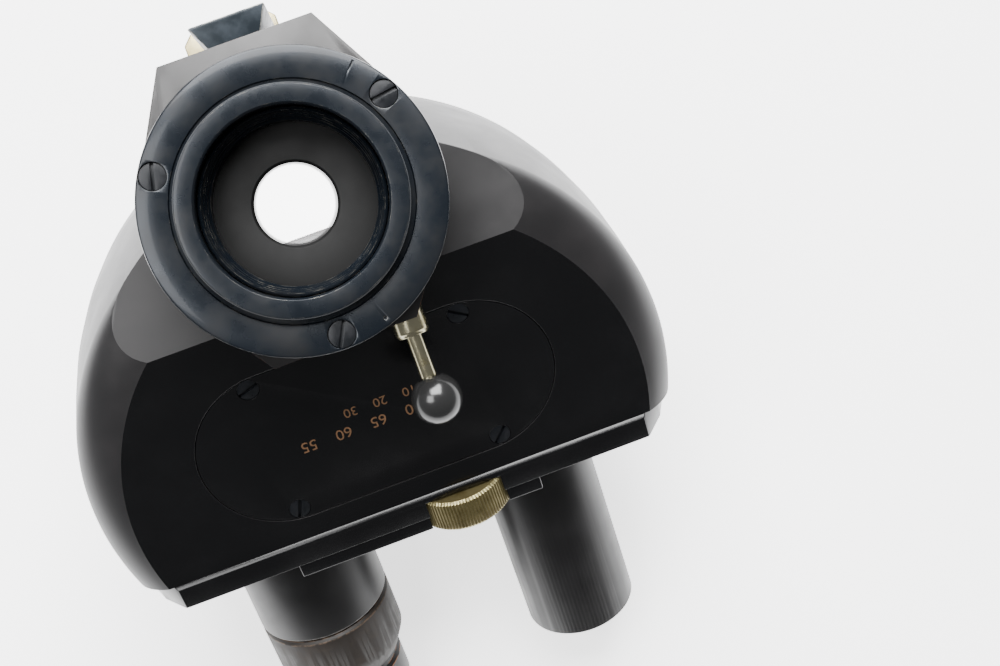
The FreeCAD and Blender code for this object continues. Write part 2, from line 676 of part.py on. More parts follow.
def build_left_side():
    """The left slide: plate, rack, neck, prism, tube, collar, dioptre ring and the eyepiece."""
    node("left_slide_plate", slide_plate(-1, 47.9))
    node("left_rack", bar(TILTED, (-19, 20), (-47.9, -44.8), (-10.4, -8.0)))
    neck_and_prism(-1)
    frame = tube_frame(-dim("tube_x"), dim("tube_deep"))
    bore = dim("tube_bore")
    collar = dim("collar_radius")
    node("left_tube", turned([
        (7.6, 61.4), (12.4, 61.4), (12.4, 98.0), (bore, 98.0), (bore, 66), (7.6, 66),
    ], frame))
    node("left_collar", turned([
        (12.45, 60.4), (collar - 0.5, 60.4), (collar, 60.9), (collar, 85.6), (collar - 0.5, 86.1),
        (12.45, 86.1),
    ], frame))
    node("dioptre_ring", turned([
        (12.5, 86.5), (collar - 0.7, 86.5), (collar, 87.2), (collar - 0.1, 98.4), (collar - 0.5, 99.2),
        (12.9, 102.6), (12.5, 102.6),
    ], frame))
    rounding = 0.9
    mouth = 12.3
    end = end_of_tube(mouth, rounding)
    node("ocular_body", turned([
        (9.6, 82), (11.5, 82), (11.5, 105.2), (mouth, 106.0), (mouth, end - rounding),
        (mouth - rounding, end, rounding), (9.8, end), (9.8, end - 1.6), (9.0, end - 2.4), (9.0, 103.0),
        (9.6, 103.0),
    ], frame))
    node("eye_lens", turned([
        (0, 103.2), (8.95, 103.8), (8.95, 106.4), (6, 107.1), (3, 107.5), (0, 107.6),
    ], frame))
    node("field_lens", turned([
        (0, 83.2), (5, 83.6), (9.55, 84.8), (9.55, 86.6), (0, 86.6),
    ], frame))
    node("field_stop", turned([(9.55, 94), (9.55, 94.8), (6.4, 94.8), (6.4, 94)], frame))


def check_all():
    """Stop if any object failed, or if a sub-part's shape is missing or faulty."""
    for thing in DOC.Objects:
        faults = [state for state in thing.State if state in ("Invalid", "Error")]
        if faults:
            raise RuntimeError("%s (%s) is %s" % (thing.Label, thing.Name, faults))
    for label, thing in NODES.items():
        shape = thing.Shape
        if shape.isNull() or not shape.isValid() or not shape.Solids:
            raise RuntimeError(label + " has no sound shape")
        print("%-20s %2d solid(s) %9.1f mm3" % (label, len(shape.Solids), shape.Volume))


def main():
    """Build every sub-part, check it and write it."""
    build_flange()
    build_block()
    build_photo_tube()
    build_selector()
    build_housing()
    build_base()
    build_wheel()
    build_right_side()
    build_left_side()
    DOC.recompute()
    check_all()
    os.makedirs("parts", exist_ok=True)
    for label, thing in NODES.items():
        thing.Shape.exportStep("parts/" + label + ".step")


main()
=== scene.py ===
"""Inclined binocular viewing head of a microscope, dressed for a studio view.

Lengths in the classes are millimetres. The level frame is the part's own: origin at the end face of the
mounting ring, +Z out of it. The tilted frame lies on the housing's front face: x across, y up towards the
flat top, z out of the face. A tube's own z runs down the housing.
"""

import json
import logging
import math
from dataclasses import dataclass
from enum import Enum
from typing import Any, Callable, Iterable, Sequence

import bpy
from mathutils import Matrix, Vector


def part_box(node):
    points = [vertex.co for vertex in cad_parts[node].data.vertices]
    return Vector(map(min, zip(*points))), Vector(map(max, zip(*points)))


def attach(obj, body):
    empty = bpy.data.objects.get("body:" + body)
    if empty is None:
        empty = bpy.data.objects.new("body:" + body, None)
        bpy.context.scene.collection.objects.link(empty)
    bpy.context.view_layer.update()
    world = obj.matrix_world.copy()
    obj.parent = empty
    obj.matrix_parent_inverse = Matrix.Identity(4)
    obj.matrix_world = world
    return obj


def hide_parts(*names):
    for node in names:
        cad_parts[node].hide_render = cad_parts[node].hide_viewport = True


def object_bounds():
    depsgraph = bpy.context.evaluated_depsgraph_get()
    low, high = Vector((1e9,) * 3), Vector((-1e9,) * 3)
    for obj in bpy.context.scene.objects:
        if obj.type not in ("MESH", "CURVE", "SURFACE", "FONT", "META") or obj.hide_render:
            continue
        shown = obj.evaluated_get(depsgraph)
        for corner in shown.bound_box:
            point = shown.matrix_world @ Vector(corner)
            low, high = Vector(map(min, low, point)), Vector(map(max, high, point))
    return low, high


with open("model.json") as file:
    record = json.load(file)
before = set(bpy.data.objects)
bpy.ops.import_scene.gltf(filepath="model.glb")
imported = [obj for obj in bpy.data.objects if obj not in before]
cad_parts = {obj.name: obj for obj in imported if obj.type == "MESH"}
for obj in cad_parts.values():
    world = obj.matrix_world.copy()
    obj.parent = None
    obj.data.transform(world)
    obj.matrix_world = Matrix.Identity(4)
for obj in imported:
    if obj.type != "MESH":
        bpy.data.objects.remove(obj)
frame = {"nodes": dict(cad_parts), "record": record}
CAD_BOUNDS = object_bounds()
LOG = logging.getLogger("viewing_head")
MM = 0.001
LEAST_ROUGHNESS = 0.03
MERGE_DISTANCE = 2e-6
SIDES_PER_GROOVE = 4
FONT_TO_FIGURE = 1.4
Profile = Sequence[tuple[float, float]]


class Wear(Enum):
    """How a finish has aged."""

    NONE = "none"
    MOTTLED = "mottled"
    RUBBED = "rubbed"


def from_hex(text: str) -> tuple[float, float, float, float]:
    """The linear colour of an sRGB hex value.

    Args:
        text: six hex digits, with or without a leading hash.

    Returns:
        Red, green, blue and an alpha of one.
    """
    digits = text.lstrip("#")
    parts = [int(digits[start:start + 2], 16) / 255 for start in (0, 2, 4)]
    linear = [part / 12.92 if part <= 0.04045 else ((part + 0.055) / 1.055) ** 2.4 for part in parts]
    return linear[0], linear[1], linear[2], 1.0


def add_node(tree: bpy.types.NodeTree, kind: str, inputs: dict[str, Any] | None = None,
             **settings: Any) -> bpy.types.Node:
    """Add a node with its settings, its constants and its links.

    Args:
        tree: the material's node tree.
        kind: the node's type name.
        inputs: socket name to a constant, or to the output socket that feeds it.
        **settings: attributes of the node.

    Returns:
        The new node.
    """
    new = tree.nodes.new(kind)
    for key, value in settings.items():
        setattr(new, key, value)
    for key, value in (inputs or {}).items():
        socket = new.inputs[int(key)] if key.isdigit() else new.inputs[key]
        if isinstance(value, bpy.types.NodeSocket):
            tree.links.new(value, socket)
        else:
            socket.default_value = value
    return new


@dataclass(frozen=True)
class Finish:
    """One surface finish, made of a Principled shader with fine noise in object coordinates."""

    name: str
    base: str
    metallic: float = 0.0
    roughness: float = 0.4
    coat: float = 0.0
    second: str = ""
    patch_mm: float = 6.0
    patch_share: float = 0.5
    grain_mm: float = 0.35
    grain_depth: float = 0.004
    rough_swing: float = 0.08
    wear: Wear = Wear.NONE
    worn: str = "#8A7A68"
    transmission: float = 0.0
    ior: float = 1.5
    specular: float = 0.5

    def build(self) -> bpy.types.Material:
        """The finish as a material, made once and then reused.

        Returns:
            The scene's material of this name, which is made if there is none.
        """
        if self.name in bpy.data.materials:
            return bpy.data.materials[self.name]
        material = bpy.data.materials.new(self.name)
        material.use_nodes = True
        tree = material.node_tree
        tree.nodes.clear()
        output = add_node(tree, "ShaderNodeOutputMaterial")
        shader = add_node(tree, "ShaderNodeBsdfPrincipled", {
            "Base Color": from_hex(self.base), "Metallic": self.metallic, "Roughness": self.roughness,
            "Coat Weight": self.coat, "Coat Roughness": 0.06, "Transmission Weight": self.transmission,
            "IOR": self.ior, "Specular IOR Level": self.specular})
        tree.links.new(shader.outputs["BSDF"], output.inputs["Surface"])
        if self.transmission:
            return material
        place = add_node(tree, "ShaderNodeTexCoord").outputs["Object"]
        patches = self._noise(tree, place, self.patch_mm, 4.0)
        grain = self._noise(tree, place, self.grain_mm, 2.0)
        colour = self._colour(tree, patches)
        if colour is not None:
            tree.links.new(colour, shader.inputs["Base Color"])
        swing = add_node(tree, "ShaderNodeMapRange", {
            "Value": patches, "From Min": 0.3, "From Max": 0.7,
            "To Min": max(self.roughness - self.rough_swing, LEAST_ROUGHNESS),
            "To Max": self.roughness + self.rough_swing})
        tree.links.new(swing.outputs["Result"], shader.inputs["Roughness"])
        bump = add_node(tree, "ShaderNodeBump", {
            "Height": grain, "Distance": self.grain_depth * MM, "Strength": 0.6})
        tree.links.new(bump.outputs["Normal"], shader.inputs["Normal"])
        return material

    @staticmethod
    def _noise(tree: bpy.types.NodeTree, place: bpy.types.NodeSocket, size_mm: float,
               detail: float) -> bpy.types.NodeSocket:
        """Noise whose features are about a given size.

        Args:
            tree: the material's node tree.
            place: the coordinates that the noise is read at.
            size_mm: how far across a feature is.
            detail: how many finer layers are added.

        Returns:
            The noise's value.
        """
        noise = add_node(tree, "ShaderNodeTexNoise", {
            "Vector": place, "Scale": 1.0 / (size_mm * MM), "Detail": detail, "Roughness": 0.6})
        return noise.outputs["Fac"]

    def _colour(self, tree: bpy.types.NodeTree,
                patches: bpy.types.NodeSocket) -> bpy.types.NodeSocket | None:
        """The base colour mixed with its second tone.

        Args:
            tree: the material's node tree.
            patches: broad noise that says where the second tone shows.

        Returns:
            The mixed colour, or None where the finish is one plain colour.
        """
        if not self.second:
            return None
        share = add_node(tree, "ShaderNodeMapRange", {
            "Value": patches, "From Min": 0.62 - 0.3 * self.patch_share, "From Max": 0.72})
        mixed = add_node(tree, "ShaderNodeMix", {
            "Factor": share.outputs["Result"], "6": from_hex(self.base), "7": from_hex(self.second)},
            data_type="RGBA")
        return mixed.outputs[2]

    def edge(self) -> bpy.types.Material:
        """The finish as it is on a rubbed edge: broken patches of the metal beneath.

        Returns:
            A copy of the finish, with the worn colour in it where the finish wears.
        """
        name = self.name + "_edge"
        if name in bpy.data.materials:
            return bpy.data.materials[name]
        material = self.build().copy()
        material.name = name
        if self.wear is Wear.NONE:
            return material
        tree = material.node_tree
        shader = next(item for item in tree.nodes if item.type == "BSDF_PRINCIPLED")
        place = add_node(tree, "ShaderNodeTexCoord").outputs["Object"]
        chips = self._noise(tree, place, 3.0 if self.wear is Wear.MOTTLED else 1.6, 5.0)
        low = 0.40 if self.wear is Wear.RUBBED else 0.50
        broken = add_node(tree, "ShaderNodeMapRange", {
            "Value": chips, "From Min": low, "From Max": low + 0.14}).outputs["Result"]
        worn = add_node(tree, "ShaderNodeMix", {
            "Factor": broken, "6": from_hex(self.base), "7": from_hex(self.worn)}, data_type="RGBA")
        tree.links.new(worn.outputs[2], shader.inputs["Base Color"])
        return material


# Blued and lacquered steel: a cool black with faint brown bloom, satin, rubbed to bare metal on its rims.
BLUED_STEEL = Finish("blued_steel", "#10151B", metallic=0.45, roughness=0.3, coat=0.1,
    second="#161719", patch_mm=9.0, patch_share=0.6, grain_mm=0.5, rough_swing=0.09, wear=Wear.MOTTLED,
    worn="#5A5852", specular=0.35)
# Black lacquer on brass: warm black, satin, with copper showing where it has rubbed through.
BLACK_LACQUER = Finish("rubbed_black_lacquer", "#121011", coat=0.04, second="#121010", patch_mm=12.0,
    patch_share=0.4, grain_mm=0.5, grain_depth=0.005, wear=Wear.RUBBED, worn="#6E4A32", specular=0.4)
# Stoved enamel on the cast shell: satin black that takes broad soft highlights.
SHELL_ENAMEL = Finish("stoved_shell_enamel", "#121112", second="#171516", patch_mm=14.0,
    patch_share=0.4, grain_mm=0.5, rough_swing=0.05, specular=0.4)
# Gloss enamel on flat and turned faces: deep black with a thin bright coat.
GLOSS_ENAMEL = Finish("stoved_gloss_enamel", "#060607", roughness=0.22, coat=0.06, second="#080809",
    patch_mm=16.0, patch_share=0.4, grain_mm=0.6, grain_depth=0.002, rough_swing=0.05, specular=0.28)
# Lacquered drawn tube: a softer black than the flat faces, a little dulled by handling.
TUBE_LACQUER = Finish("tube_lacquer", "#0C0B0C", roughness=0.36, second="#100F10", patch_mm=10.0,
    patch_share=0.4, grain_mm=0.5, grain_depth=0.003, rough_swing=0.06, wear=Wear.RUBBED,
    worn="#4A4642", specular=0.3)
# Dull black inside the tubes and on hidden fittings, so that it kills reflections.
INNER_BLACK = Finish("dulled_inner_black", "#070707", roughness=0.6, patch_mm=8.0, grain_mm=0.3,
    grain_depth=0.003, specular=0.2)
# Blackened slotted screws: dark steel with a fine turned face.
SCREW_STEEL = Finish("blackened_screw_steel", "#101215", metallic=0.3, roughness=0.34,
    second="#15161A", patch_mm=2.0, grain_mm=0.2, grain_depth=0.003, specular=0.3)
# Nickel plate gone slightly yellow, on the selector's sleeve and rod.
NICKEL_PLATE = Finish("nickel_plate", "#A8A288", metallic=1.0, roughness=0.24, second="#8F8764",
    patch_mm=3.0, grain_mm=0.25, grain_depth=0.002, rough_swing=0.06)
# Turned black resin, polished. A slot of the frame has this name, so the frame's own material is shown.
BALL_RESIN = Finish("ball_resin", "#030303", roughness=0.1, coat=0.1, patch_mm=5.0, grain_mm=0.4,
    grain_depth=0.0005, rough_swing=0.02, specular=0.4)
# Aged lacquered brass: dull olive gold with brown stains.
AGED_BRASS = Finish("aged_brass", "#6A6142", metallic=0.75, second="#52492C", patch_mm=2.5,
    patch_share=0.6, grain_mm=0.25, grain_depth=0.005, wear=Wear.RUBBED, worn="#B5AB7C", specular=0.3)
# Pale brass on the stop and the hidden slides.
PALE_BRASS = Finish("pale_brass", "#A09672", metallic=0.9, roughness=0.35, second="#857A55",
    patch_mm=4.0, grain_mm=0.3, grain_depth=0.003)
# Baked brown-black on the focusing ring, matte from handling.
RING_BROWN = Finish("baked_brown_lacquer", "#1E1915", roughness=0.55, second="#2A231D", patch_mm=3.0,
    grain_mm=0.3, grain_depth=0.01, wear=Wear.RUBBED, worn="#4A3C30", specular=0.35)
# Polished crown glass.
CROWN_GLASS = Finish("crown_glass", "#F4F8FA", roughness=0.02, transmission=1.0, ior=1.52)
# Copper-gold paint pressed into the engraving.
FIGURE_GOLD = Finish("figure_gold", "#7A5A40", metallic=0.5, roughness=0.42, second="#63482F",
    patch_mm=1.0, grain_mm=0.3, grain_depth=0.002)
# Blued dovetail with worn flats, lighter than the block.
DOVETAIL_STEEL = Finish("dovetail_steel", "#1C2227", metallic=0.4, roughness=0.34, coat=0.04,
    second="#2A3036", patch_mm=4.0, patch_share=0.6, grain_mm=0.4, wear=Wear.RUBBED, worn="#7A7974",
    specular=0.3)
# White laminate, slightly satin: gives a pale, nearly shadowless ground.
WHITE_LAMINATE = Finish("white_laminate", "#F2F2F3", roughness=0.5, patch_mm=40.0, grain_mm=0.6,
    grain_depth=0.002, rough_swing=0.02)


def body_of_node(node: str) -> str:
    """The body that a CAD node belongs to.

    Args:
        node: the node's name.

    Returns:
        The body's name in the record.
    """
    bodies = frame["record"]["behaviour"]["bodies"]
    return next(body for body, names in bodies.items() if node in names)


def start_fresh() -> None:
    """Leave edit mode and deselect everything."""
    if bpy.context.object and bpy.context.object.mode != "OBJECT":
        bpy.ops.object.mode_set(mode="OBJECT")
    bpy.ops.object.select_all(action="DESELECT")


def make_active(piece: bpy.types.Object) -> None:
    """Select one piece alone and make it the active one."""
    start_fresh()
    piece.select_set(True)
    bpy.context.view_layer.objects.active = piece


def select_where(piece: bpy.types.Object, wanted: Callable[[Vector], bool]) -> None:
    """Select the vertices whose place answers a test, and leave the piece in object mode.

    Args:
        piece: the piece to select in.
        wanted: says of a vertex's place whether it is selected.
    """
    make_active(piece)
    bpy.ops.object.mode_set(mode="EDIT")
    bpy.ops.mesh.select_mode(type="VERT")
    bpy.ops.mesh.select_all(action="DESELECT")
    bpy.ops.object.mode_set(mode="OBJECT")
    for vertex in piece.data.vertices:
        vertex.select = wanted(vertex.co)


def put(piece: bpy.types.Object, place: Matrix) -> None:
    """Move a piece by a placement and bake that into its mesh.

    Args:
        piece: the piece to move.
        place: where its origin and axes go.
    """
    piece.matrix_world = place @ piece.matrix_world
    make_active(piece)
    bpy.ops.object.transform_apply(location=True, rotation=True, scale=True)


def apply_modifier(piece: bpy.types.Object, kind: str, **settings: Any) -> None:
    """Add a modifier with its settings and apply it.

    Args:
        piece: the piece to change.
        kind: the modifier's type name.
        **settings: attributes of the modifier.
    """
    make_active(piece)
    modifier = piece.modifiers.new(kind.title(), kind)
    for key, value in settings.items():
        setattr(modifier, key, value)
    bpy.ops.object.modifier_apply(modifier=modifier.name)


def carve(piece: bpy.types.Object, tools: Iterable[bpy.types.Object]) -> None:
    """Take tools out of a piece and remove them from the scene.

    Args:
        piece: the piece to cut.
        tools: closed solids, taken out in turn.
    """
    for tool in tools:
        apply_modifier(piece, "BOOLEAN", operation="DIFFERENCE", solver="EXACT", object=tool)
        bpy.data.objects.remove(tool, do_unlink=True)


def soften(piece: bpy.types.Object, width_mm: float, angle: float = 32.0, segments: int = 3,
           smooth: float = 32.0) -> None:
    """Break a piece's sharp edges, with the second material on them, and smooth what is left.

    Args:
        piece: the piece to soften.
        width_mm: how wide the broken edge is; none is broken at zero.
        angle: the least angle in degrees of an edge that is broken.
        segments: how many strips a broken edge has.
        smooth: the greatest angle in degrees that is shaded smooth.
    """
    if width_mm:
        apply_modifier(piece, "BEVEL", width=width_mm * MM, segments=segments, limit_method="ANGLE",
                       angle_limit=math.radians(angle), miter_outer="MITER_ARC", use_clamp_overlap=True,
                       material=1)
    make_active(piece)
    bpy.ops.object.shade_smooth_by_angle(angle=math.radians(smooth))


def lathe(name: str, profile: Profile, place: Matrix, segments: int = 192) -> bpy.types.Object:
    """Turn a piece about its own z by drawing one ring out into the next.

    Args:
        name: the piece's name.
        profile: (radius, z) of each ring in millimetres; the same first and last ring close the wall.
        place: where the piece's own origin and axes go.
        segments: how many sides a ring has.

    Returns:
        The turned piece, in place.
    """
    start_fresh()
    radius, level = profile[0]
    bpy.ops.mesh.primitive_circle_add(vertices=segments, radius=radius * MM, location=(0, 0, level * MM),
                                      fill_type="NOTHING")
    piece = bpy.context.object
    piece.name = name
    bpy.ops.object.mode_set(mode="EDIT")
    bpy.ops.mesh.select_all(action="SELECT")
    for next_radius, next_level in profile[1:]:
        bpy.ops.mesh.extrude_edges_move(TRANSFORM_OT_translate={"value": (0, 0, (next_level - level) * MM)})
        scale = next_radius / radius
        bpy.ops.transform.resize(value=(scale, scale, 1), center_override=(0, 0, next_level * MM))
        radius, level = next_radius, next_level
    bpy.ops.mesh.select_all(action="SELECT")
    bpy.ops.mesh.remove_doubles(threshold=MERGE_DISTANCE)
    bpy.ops.mesh.normals_make_consistent(inside=False)
    bpy.ops.object.mode_set(mode="OBJECT")
    put(piece, place)
    return piece


def drum(radius: float, low: float, high: float, place: Matrix, segments: int = 128) -> bpy.types.Object:
    """A solid round cutter between two levels of its own z.

    Args:
        radius: its radius in millimetres.
        low: the lower level in millimetres.
        high: the upper level in millimetres.
        place: where its own origin and axes go.
        segments: how many sides it has.

    Returns:
        The cutter, in place.
    """
    start_fresh()
    bpy.ops.mesh.primitive_cylinder_add(vertices=segments, radius=radius * MM, depth=(high - low) * MM,
                                        location=(0, 0, (low + high) / 2 * MM))
    piece = bpy.context.object
    put(piece, place)
    return piece


def block(low: Sequence[float], high: Sequence[float], place: Matrix) -> bpy.types.Object:
    """A solid square cutter between two corners.

    Args:
        low: the lower corner in millimetres.
        high: the upper corner in millimetres.
        place: where its own origin and axes go.

    Returns:
        The cutter, in place.
    """
    start_fresh()
    middle = [(a + b) / 2 * MM for a, b in zip(low, high)]
    sides = [(b - a) * MM for a, b in zip(low, high)]
    bpy.ops.mesh.primitive_cube_add(size=1, location=middle, scale=sides)
    piece = bpy.context.object
    put(piece, place)
    return piece


def coat(piece: bpy.types.Object, finish: Finish) -> None:
    """Give a piece its finish and the rubbed form of it for the edges.

    Args:
        piece: the piece to coat.
        finish: the finish, which goes in the first material and, rubbed, in the second.
    """
    piece.data.materials.clear()
    piece.data.materials.append(finish.build())
    piece.data.materials.append(finish.edge())


def finish_piece(piece: bpy.types.Object, *nodes: str) -> bpy.types.Object:
    """Hide the CAD nodes that a piece stands for and hang the piece on their body.

    Args:
        piece: the finished piece.
        *nodes: the CAD nodes, which are hidden; the first gives the body.

    Returns:
        The same piece.
    """
    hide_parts(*nodes)
    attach(piece, body_of_node(nodes[0]))
    LOG.info("%s: %d faces", piece.name, len(piece.data.polygons))
    return piece


def refined(node: str, finish: Finish, width_mm: float = 0.25) -> bpy.types.Object:
    """A merged copy of a CAD node's form with its edges broken, which stands for that node.

    Args:
        node: the CAD node's name.
        finish: what it is coated with.
        width_mm: how wide its broken edges are.

    Returns:
        The new piece.
    """
    source = frame["nodes"][node]
    piece = source.copy()
    piece.data = source.data.copy()
    piece.parent = None
    piece.matrix_world = source.matrix_world.copy()
    piece.name = "machined_" + node
    bpy.context.scene.collection.objects.link(piece)
    make_active(piece)
    bpy.ops.object.mode_set(mode="EDIT")
    bpy.ops.mesh.select_all(action="SELECT")
    bpy.ops.mesh.remove_doubles(threshold=MERGE_DISTANCE)
    bpy.ops.mesh.dissolve_limited(angle_limit=math.radians(0.4))
    bpy.ops.object.mode_set(mode="OBJECT")
    coat(piece, finish)
    soften(piece, width_mm)
    return finish_piece(piece, node)


def dressed(nodes: Iterable[str], finish: Finish) -> None:
    """Give CAD nodes that keep their mesh a better finish.

    Args:
        nodes: the CAD nodes' names.
        finish: what they are coated with.
    """
    for node in nodes:
        mesh = frame["nodes"][node].data
        mesh.materials.clear()
        mesh.materials.append(finish.build())


def knurl(piece: bpy.types.Object, from_radius: float, grooves: int, depth: float) -> None:
    """Press grooves into the rim of a piece that is turned about the world's z.

    Args:
        piece: a turned piece with four ring sides to a groove.
        from_radius: the least radius in millimetres that is pressed.
        grooves: how many grooves go round.
        depth: how deep they are at the rim, in millimetres.
    """
    outer = max(math.hypot(vertex.co.x, vertex.co.y) for vertex in piece.data.vertices)

    def in_groove(place: Vector) -> bool:
        """Whether a point of the rim lies in a groove."""
        turn = math.atan2(place.y, place.x) / math.tau * grooves * SIDES_PER_GROOVE
        return math.hypot(place.x, place.y) > from_radius * MM and round(turn) % SIDES_PER_GROOVE < 2

    select_where(piece, in_groove)
    bpy.ops.object.mode_set(mode="EDIT")
    scale = 1 - depth * MM / outer
    bpy.ops.transform.resize(value=(scale, scale, 1), center_override=(0, 0, 0))
    bpy.ops.object.mode_set(mode="OBJECT")


LEVEL = Matrix.Identity(4)
DOWN_TURN = Matrix.Rotation(math.radians(90), 4, "X")
JOINTS = frame["record"]["behaviour"]["joints"]
TUBE_AXIS = next(joint["axis"] for joint in JOINTS if joint["name"] == "ocular_focus")
TILT = math.atan2(-TUBE_AXIS[2], -TUBE_AXIS[1])
FRONT_EDGE = Vector((0.0, -0.0184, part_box("housing_shell")[1][2]))
TILTED = Matrix.Translation(FRONT_EDGE) @ Matrix.Rotation(TILT, 4, "X")


def down_tube(x: float, deep: float) -> Matrix:
    """The placement of a turned piece whose z runs down the housing.

    Args:
        x: how far across its axis lies, in millimetres.
        deep: how far behind the front face its axis lies, in millimetres.

    Returns:
        The placement.
    """
    return TILTED @ Matrix.Translation(Vector((x, 0, -deep)) * MM) @ DOWN_TURN


@dataclass
class MountingFlange:
    """Flange, ring, retaining ring and stop at the top of the block."""

    rim: float = 28.5
    ring: float = 21.4
    top: float = -3.2
    bottom: float = -7.7
    bore: float = 17.5
    undercut: float = 20.6
    insert: float = 17.3
    stop_hole: float = 7.8
    bolt_circle: float = 25.65
    bolt_angles: tuple[float, ...] = (30.0, 150.0, 270.0)
    well_radius: float = 2.68
    well_deep: float = 2.2
    tick_angle: float = 47.0
    tick_radius: float = 26.8
    dot: tuple[float, float] = (8.5, -25.6)

    def turn_flange(self) -> None:
        """The flange and ring in one piece, with screw wells, an index tick and a dot."""
        profile = [
            (self.bore, -0.4), (17.9, 0.0), (self.ring - 0.3, 0.0), (self.ring, -0.3), (self.ring, -1.9),
            (self.undercut, -2.6), (self.undercut, self.top - 0.5), (22.3, self.top - 0.5),
            (22.5, self.top), (self.rim - 0.5, self.top), (self.rim - 0.12, self.top - 0.14),
            (self.rim, self.top - 0.5), (self.rim, self.bottom + 0.3), (self.rim - 0.3, self.bottom),
            (self.bore, self.bottom), (self.bore, -0.4)]
        piece = lathe("turned_flange", profile, LEVEL, 288)
        tools = []
        for degrees in self.bolt_angles:
            x = self.bolt_circle * math.cos(math.radians(degrees))
            y = self.bolt_circle * math.sin(math.radians(degrees))
            spot = Matrix.Translation(Vector((x, y, self.top)) * MM)
            tools.append(drum(self.well_radius, -self.well_deep, 1.0, spot, 64))
        turn = Matrix.Rotation(math.radians(self.tick_angle), 4, "Z")
        tick = turn @ Matrix.Translation(Vector((self.tick_radius, 0, self.top)) * MM)
        tools.append(block((-1.0, -0.12, -0.15), (1.0, 0.12, 1.0), tick))
        dot = Matrix.Translation(Vector((*self.dot, self.top)) * MM)
        tools.append(drum(0.35, -0.3, 1.0, dot, 24))
        carve(piece, tools)
        coat(piece, BLUED_STEEL)
        soften(piece, 0.12, 30, 2)
        finish_piece(piece, "mount_flange")

    def turn_inserts(self) -> None:
        """The polished stepped retaining ring and the stop."""
        ring = lathe("stepped_retaining_ring", [
            (16.7, -3.5), (self.insert, -3.9), (self.insert, -12.5), (15.4, -12.5), (15.4, -9.2),
            (15.9, -8.7), (15.9, -7.4), (16.2, -7.1), (16.2, -6.1), (16.5, -5.8), (16.5, -4.1),
            (16.7, -3.5)], LEVEL, 256)
        coat(ring, BLUED_STEEL)
        soften(ring, 0.06, 20, 2)
        finish_piece(ring, "retaining_ring")
        stop = lathe("light_stop_disc", [
            (17.2, -12.5), (17.2, -13.5), (self.stop_hole, -13.5), (self.stop_hole, -13.0),
            (self.stop_hole + 0.5, -12.5), (17.2, -12.5)], LEVEL, 192)
        coat(stop, INNER_BLACK)
        soften(stop, 0.04, 30, 2)
        finish_piece(stop, "light_stop")

    def build(self) -> None:
        """Build the whole sub-assembly."""
        self.turn_flange()
        self.turn_inserts()
        refined("flange_screws", SCREW_STEEL, 0.12)


@dataclass
class PrismBlock:
    """The block under the flange, its rear plate, dovetail and stop."""

    def build(self) -> None:
        """Build the whole sub-assembly."""
        refined("prism_block", BLACK_LACQUER, 0.5)
        refined("rear_plate", BLACK_LACQUER, 0.2)
        refined("rear_dovetail", DOVETAIL_STEEL, 0.25)
        refined("dovetail_screws", SCREW_STEEL, 0.12)
        refined("dovetail_stop", PALE_BRASS, 0.3)
        dressed(["exit_lens"], CROWN_GLASS)
        dressed(["carriage_rails"], PALE_BRASS)


@dataclass
class PhotoTube:
    """The straight tube under the block with its clamp."""

    grooves: int = 72
    knob_radius: float = 7.5
    thread_radius: float = 2.0

    def build(self) -> None:
        """Build the whole sub-assembly."""
        for node in ("photo_tube_seat", "photo_tube", "clamp_collar"):
            refined(node, BLACK_LACQUER, 0.2)
        low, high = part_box("clamp_knob")
        start = Vector((low[0], (low[1] + high[1]) / 2, (low[2] + high[2]) / 2))
        place = Matrix.Translation(start) @ Matrix.Rotation(math.radians(90), 4, "Y")
        knob = lathe("knurled_clamp_knob", [
            (0.01, 0), (1.9, 0), (self.thread_radius, 0.2), (self.thread_radius, 9.8), (4.0, 9.8),
            (4.0, 10.8), (7.1, 10.8), (self.knob_radius, 11.2), (self.knob_radius, 17.4), (7.1, 17.8),
            (2.4, 17.8), (2.2, 17.3), (0.01, 17.3)], LEVEL, self.grooves * SIDES_PER_GROOVE)
        knurl(knob, self.knob_radius - 0.05, self.grooves, 0.25)
        put(knob, place)
        coat(knob, PALE_BRASS)
        soften(knob, 0.0, 35)
        finish_piece(knob, "clamp_knob")


@dataclass(frozen=True)
class FigureRow:
    """One row of figures on the cover plate, with its middle and its height in millimetres."""

    text: str
    x: float
    y: float
    height: float


